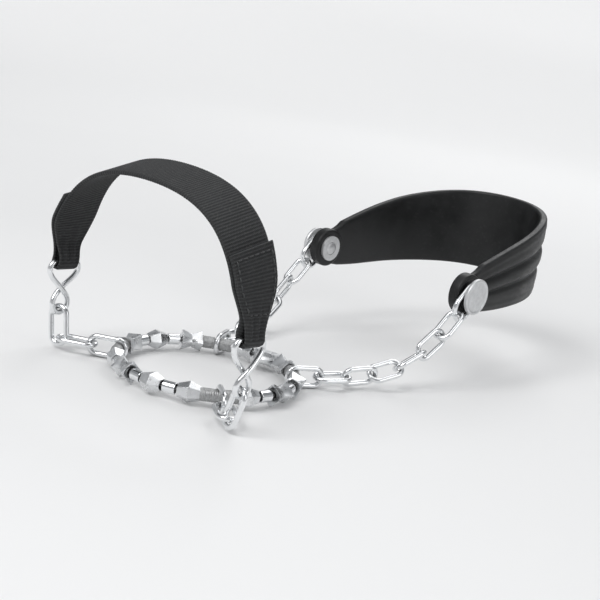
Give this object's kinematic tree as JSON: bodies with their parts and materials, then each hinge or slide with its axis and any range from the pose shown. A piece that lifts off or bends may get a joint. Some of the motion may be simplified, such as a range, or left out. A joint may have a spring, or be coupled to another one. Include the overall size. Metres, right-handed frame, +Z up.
{
  "type": "shoe ice cleat",
  "caption": "Slip-on ice cleat for a boot: beaded steel cable ring under the ball of the foot, held by chains, a webbing toe strap and a moulded rubber heel strap.",
  "frame": {"origin": "centre of the beaded ring, on the ground plane that its lowest bead corners touch", "axes": "+Z up, +Y towards the heel, -Y towards the toe, +X towards the wearer's left"},
  "size_m": [0.1132, 0.247, 0.0867],
  "materials": {
    "bead_steel": "satin, cast and tumbled",
    "spacer_steel": "polished",
    "collar_steel": "matte grey",
    "chain_steel": "polished, lightly scuffed",
    "cap_steel": "satin",
    "webbing": "woven, matte",
    "rubber": "satin moulded"
  },
  "bodies": {
    "ring": {"ring_cable": "chain_steel", "crimp_collars": "collar_steel", "crimp_clasp": "bead_steel"},
    "diamond_bead_1": {"diamond_bead_1": "bead_steel"},
    "diamond_bead_2": {"diamond_bead_2": "bead_steel"},
    "diamond_bead_3": {"diamond_bead_3": "bead_steel"},
    "diamond_bead_4": {"diamond_bead_4": "bead_steel"},
    "diamond_bead_5": {"diamond_bead_5": "bead_steel"},
    "spike_bead_1": {"spike_bead_1": "bead_steel"},
    "spike_bead_2": {"spike_bead_2": "bead_steel"},
    "spike_bead_3": {"spike_bead_3": "bead_steel"},
    "spike_bead_4": {"spike_bead_4": "bead_steel"},
    "spike_bead_5": {"spike_bead_5": "bead_steel"},
    "spike_bead_6": {"spike_bead_6": "bead_steel"},
    "spike_bead_7": {"spike_bead_7": "bead_steel"},
    "spacer_1": {"spacer_1": "spacer_steel"},
    "spacer_2": {"spacer_2": "spacer_steel"},
    "spacer_3": {"spacer_3": "spacer_steel"},
    "spacer_4": {"spacer_4": "spacer_steel"},
    "spacer_5": {"spacer_5": "spacer_steel"},
    "spacer_6": {"spacer_6": "spacer_steel"},
    "spacer_7": {"spacer_7": "spacer_steel"},
    "front_left_link_1": {"front_left_link_1": "chain_steel"},
    "front_right_link_1": {"front_right_link_1": "chain_steel"},
    "front_left_link_2": {"front_left_link_2": "chain_steel"},
    "front_right_link_2": {"front_right_link_2": "chain_steel"},
    "front_left_link_3": {"front_left_link_3": "chain_steel"},
    "front_right_link_3": {"front_right_link_3": "chain_steel"},
    "hook_left": {"hook_left": "chain_steel", "toe_strap": "webbing"},
    "hook_right": {"hook_right": "chain_steel"},
    "heel_strap": {"heel_strap": "rubber", "rivet_cap_left": "cap_steel", "rivet_cap_right": "cap_steel", "rivet_washer_left": "cap_steel", "rivet_washer_right": "cap_steel"},
    "rear_left_link_1": {"rear_left_link_1": "chain_steel"},
    "rear_right_link_1": {"rear_right_link_1": "chain_steel"},
    "rear_left_link_2": {"rear_left_link_2": "chain_steel"},
    "rear_right_link_2": {"rear_right_link_2": "chain_steel"},
    "rear_left_link_3": {"rear_left_link_3": "chain_steel"},
    "rear_right_link_3": {"rear_right_link_3": "chain_steel"},
    "rear_left_link_4": {"rear_left_link_4": "chain_steel"},
    "rear_right_link_4": {"rear_right_link_4": "chain_steel"},
    "rear_left_link_5": {"rear_left_link_5": "chain_steel"},
    "rear_right_link_5": {"rear_right_link_5": "chain_steel"},
    "rear_left_link_6": {"rear_left_link_6": "chain_steel"},
    "rear_right_link_6": {"rear_right_link_6": "chain_steel"},
    "rear_left_link_7": {"rear_left_link_7": "chain_steel"},
    "rear_right_link_7": {"rear_right_link_7": "chain_steel"},
    "rear_left_end_loop": {"rear_left_end_loop": "chain_steel"},
    "rear_right_end_loop": {"rear_right_end_loop": "chain_steel"}
  },
  "joints": [
    {"name": "front_1_link_swing_left", "type": "hinge", "parent": "ring", "child": "front_left_link_1", "pos_m": [0.02798, -0.02036, 0.00477], "axis": [1, 0, 0], "range_deg": [-15, 15]},
    {"name": "front_1_link_swing_right", "type": "hinge", "parent": "ring", "child": "front_right_link_1", "pos_m": [-0.02798, -0.02036, 0.00477], "axis": [1, 0, 0], "range_deg": [-15, 15]},
    {"name": "front_2_link_swing_left", "type": "hinge", "parent": "front_left_link_1", "child": "front_left_link_2", "pos_m": [0.0383, -0.02758, 0.00477], "axis": [1, 0, 0], "range_deg": [-18, 18]},
    {"name": "front_2_link_swing_right", "type": "hinge", "parent": "front_right_link_1", "child": "front_right_link_2", "pos_m": [-0.0383, -0.02758, 0.00477], "axis": [1, 0, 0], "range_deg": [-18, 18]},
    {"name": "front_3_link_swing_left", "type": "hinge", "parent": "front_left_link_2", "child": "front_left_link_3", "pos_m": [0.04969, -0.03556, 0.00477], "axis": [1, 0, 0], "range_deg": [-15, 18]},
    {"name": "front_3_link_swing_right", "type": "hinge", "parent": "front_right_link_2", "child": "front_right_link_3", "pos_m": [-0.04969, -0.03556, 0.00477], "axis": [1, 0, 0], "range_deg": [-15, 18]},
    {"name": "front_4_hook_swing_left", "type": "hinge", "parent": "front_left_link_3", "child": "hook_left", "pos_m": [0.05257, -0.03505, 0.01569], "axis": [1, 0, 0], "range_deg": [-18, 18]},
    {"name": "front_4_hook_swing_right", "type": "hinge", "parent": "front_right_link_3", "child": "hook_right", "pos_m": [-0.05257, -0.03505, 0.01569], "axis": [1, 0, 0], "range_deg": [-18, 18]},
    {"name": "heel_strap_pivot", "type": "hinge", "parent": "rear_left_end_loop", "child": "heel_strap", "pos_m": [0.04502, 0.11128, 0.04063], "axis": [1, 0, 0], "range_deg": [-60, 90]},
    {"name": "rear_1_link_swing_left", "type": "hinge", "parent": "ring", "child": "rear_left_link_1", "pos_m": [0.02155, 0.02711, 0.00477], "axis": [1, 0, 0], "range_deg": [-12, 12]},
    {"name": "rear_1_link_swing_right", "type": "hinge", "parent": "ring", "child": "rear_right_link_1", "pos_m": [-0.02155, 0.02711, 0.00477], "axis": [1, 0, 0], "range_deg": [-12, 12]},
    {"name": "rear_2_link_swing_left", "type": "hinge", "parent": "rear_left_link_1", "child": "rear_left_link_2", "pos_m": [0.02707, 0.03843, 0.00477], "axis": [1, 0, 0], "range_deg": [-12, 12]},
    {"name": "rear_2_link_swing_right", "type": "hinge", "parent": "rear_right_link_1", "child": "rear_right_link_2", "pos_m": [-0.02707, 0.03843, 0.00477], "axis": [1, 0, 0], "range_deg": [-12, 12]},
    {"name": "rear_3_link_swing_left", "type": "hinge", "parent": "rear_left_link_2", "child": "rear_left_link_3", "pos_m": [0.03179, 0.05011, 0.00521], "axis": [1, 0, 0], "range_deg": [-12, 12]},
    {"name": "rear_3_link_swing_right", "type": "hinge", "parent": "rear_right_link_2", "child": "rear_right_link_3", "pos_m": [-0.03179, 0.05011, 0.00521], "axis": [1, 0, 0], "range_deg": [-12, 12]},
    {"name": "rear_4_link_swing_left", "type": "hinge", "parent": "rear_left_link_3", "child": "rear_left_link_4", "pos_m": [0.03648, 0.06173, 0.00653], "axis": [1, 0, 0], "range_deg": [-12, 12]},
    {"name": "rear_4_link_swing_right", "type": "hinge", "parent": "rear_right_link_3", "child": "rear_right_link_4", "pos_m": [-0.03648, 0.06173, 0.00653], "axis": [1, 0, 0], "range_deg": [-12, 12]},
    {"name": "rear_5_link_swing_left", "type": "hinge", "parent": "rear_left_link_4", "child": "rear_left_link_5", "pos_m": [0.04063, 0.07311, 0.01], "axis": [1, 0, 0], "range_deg": [-12, 12]},
    {"name": "rear_5_link_swing_right", "type": "hinge", "parent": "rear_right_link_4", "child": "rear_right_link_5", "pos_m": [-0.04063, 0.07311, 0.01], "axis": [1, 0, 0], "range_deg": [-12, 12]},
    {"name": "rear_6_link_swing_left", "type": "hinge", "parent": "rear_left_link_5", "child": "rear_left_link_6", "pos_m": [0.04332, 0.0839, 0.01592], "axis": [1, 0, 0], "range_deg": [-12, 12]},
    {"name": "rear_6_link_swing_right", "type": "hinge", "parent": "rear_right_link_5", "child": "rear_right_link_6", "pos_m": [-0.04332, 0.0839, 0.01592], "axis": [1, 0, 0], "range_deg": [-12, 12]},
    {"name": "rear_7_link_swing_left", "type": "hinge", "parent": "rear_left_link_6", "child": "rear_left_link_7", "pos_m": [0.0447, 0.09374, 0.02368], "axis": [1, 0, 0], "range_deg": [-12, 12]},
    {"name": "rear_7_link_swing_right", "type": "hinge", "parent": "rear_right_link_6", "child": "rear_right_link_7", "pos_m": [-0.0447, 0.09374, 0.02368], "axis": [1, 0, 0], "range_deg": [-12, 12]},
    {"name": "rear_8_end_loop_swing_left", "type": "hinge", "parent": "rear_left_link_7", "child": "rear_left_end_loop", "pos_m": [0.04502, 0.1028, 0.03243], "axis": [1, 0, 0], "range_deg": [-12, 12]},
    {"name": "rear_8_end_loop_swing_right", "type": "hinge", "parent": "rear_right_link_7", "child": "rear_right_end_loop", "pos_m": [-0.04502, 0.1028, 0.03243], "axis": [1, 0, 0], "range_deg": [-12, 12]},
    {"name": "spin_diamond_bead_1", "type": "hinge", "parent": "ring", "child": "diamond_bead_1", "pos_m": [-0.02131, -0.02901, 0.00477], "axis": [0.8059, -0.592, 0], "continuous": true},
    {"name": "spin_diamond_bead_2", "type": "hinge", "parent": "ring", "child": "diamond_bead_2", "pos_m": [0.00755, -0.0352, 0.00477], "axis": [0.9778, 0.2096, 0], "continuous": true},
    {"name": "spin_diamond_bead_3", "type": "hinge", "parent": "ring", "child": "diamond_bead_3", "pos_m": [0.02131, -0.02901, 0.00477], "axis": [0.8059, 0.592, 0], "continuous": true},
    {"name": "spin_diamond_bead_4", "type": "hinge", "parent": "ring", "child": "diamond_bead_4", "pos_m": [0.03424, -0.01112, 0.00477], "axis": [0.309, 0.9511, 0], "continuous": true},
    {"name": "spin_diamond_bead_5", "type": "hinge", "parent": "ring", "child": "diamond_bead_5", "pos_m": [-0.03568, 0.00476, 0.00477], "axis": [-0.1323, -0.9912, 0], "continuous": true},
    {"name": "spin_spike_bead_1", "type": "hinge", "parent": "ring", "child": "spike_bead_1", "pos_m": [-0.00755, -0.0352, 0.00477], "axis": [0.9778, -0.2096, 0], "continuous": true},
    {"name": "spin_spike_bead_2", "type": "hinge", "parent": "ring", "child": "spike_bead_2", "pos_m": [0.03568, 0.00476, 0.00477], "axis": [-0.1323, 0.9912, 0], "continuous": true},
    {"name": "spin_spike_bead_3", "type": "hinge", "parent": "ring", "child": "spike_bead_3", "pos_m": [0.03012, 0.01971, 0.00477], "axis": [-0.5476, 0.8368, 0], "continuous": true},
    {"name": "spin_spike_bead_4", "type": "hinge", "parent": "ring", "child": "spike_bead_4", "pos_m": [0.01208, 0.03391, 0.00477], "axis": [-0.9421, 0.3355, 0], "continuous": true},
    {"name": "spin_spike_bead_5", "type": "hinge", "parent": "ring", "child": "spike_bead_5", "pos_m": [-0.01208, 0.03391, 0.00477], "axis": [-0.9421, -0.3355, 0], "continuous": true},
    {"name": "spin_spike_bead_6", "type": "hinge", "parent": "ring", "child": "spike_bead_6", "pos_m": [-0.03012, 0.01971, 0.00477], "axis": [-0.5476, -0.8368, 0], "continuous": true},
    {"name": "spin_spike_bead_7", "type": "hinge", "parent": "ring", "child": "spike_bead_7", "pos_m": [-0.03424, -0.01112, 0.00477], "axis": [0.309, -0.9511, 0], "continuous": true},
    {"name": "spin_spacer_1", "type": "hinge", "parent": "ring", "child": "spacer_1", "pos_m": [0, -0.036, 0.00477], "axis": [1, 0, 0], "continuous": true},
    {"name": "spin_spacer_2", "type": "hinge", "parent": "ring", "child": "spacer_2", "pos_m": [0.01476, -0.03284, 0.00477], "axis": [0.9121, 0.4099, 0], "continuous": true},
    {"name": "spin_spacer_3", "type": "hinge", "parent": "ring", "child": "spacer_3", "pos_m": [-0.01476, -0.03284, 0.00477], "axis": [0.9121, -0.4099, 0], "continuous": true},
    {"name": "spin_spacer_4", "type": "hinge", "parent": "ring", "child": "spacer_4", "pos_m": [0.03585, -0.00326, 0.00477], "axis": [0.0906, 0.9959, 0], "continuous": true},
    {"name": "spin_spacer_5", "type": "hinge", "parent": "ring", "child": "spacer_5", "pos_m": [-0.03585, -0.00326, 0.00477], "axis": [0.0906, -0.9959, 0], "continuous": true},
    {"name": "spin_spacer_6", "type": "hinge", "parent": "ring", "child": "spacer_6", "pos_m": [0.03374, 0.01255, 0.00477], "axis": [-0.3486, 0.9373, 0], "continuous": true},
    {"name": "spin_spacer_7", "type": "hinge", "parent": "ring", "child": "spacer_7", "pos_m": [-0.03374, 0.01255, 0.00477], "axis": [-0.3486, -0.9373, 0], "continuous": true}
  ],
  "couplings": [
    {"joint": "front_1_link_swing_right", "follows": "front_1_link_swing_left", "ratio": 1},
    {"joint": "front_2_link_swing_right", "follows": "front_2_link_swing_left", "ratio": 1},
    {"joint": "front_3_link_swing_right", "follows": "front_3_link_swing_left", "ratio": 1},
    {"joint": "front_4_hook_swing_right", "follows": "front_4_hook_swing_left", "ratio": 1},
    {"joint": "rear_1_link_swing_right", "follows": "rear_1_link_swing_left", "ratio": 1},
    {"joint": "rear_2_link_swing_right", "follows": "rear_2_link_swing_left", "ratio": 1},
    {"joint": "rear_3_link_swing_right", "follows": "rear_3_link_swing_left", "ratio": 1},
    {"joint": "rear_4_link_swing_right", "follows": "rear_4_link_swing_left", "ratio": 1},
    {"joint": "rear_5_link_swing_right", "follows": "rear_5_link_swing_left", "ratio": 1},
    {"joint": "rear_6_link_swing_right", "follows": "rear_6_link_swing_left", "ratio": 1},
    {"joint": "rear_7_link_swing_right", "follows": "rear_7_link_swing_left", "ratio": 1},
    {"joint": "rear_8_end_loop_swing_right", "follows": "rear_8_end_loop_swing_left", "ratio": 1}
  ]
}
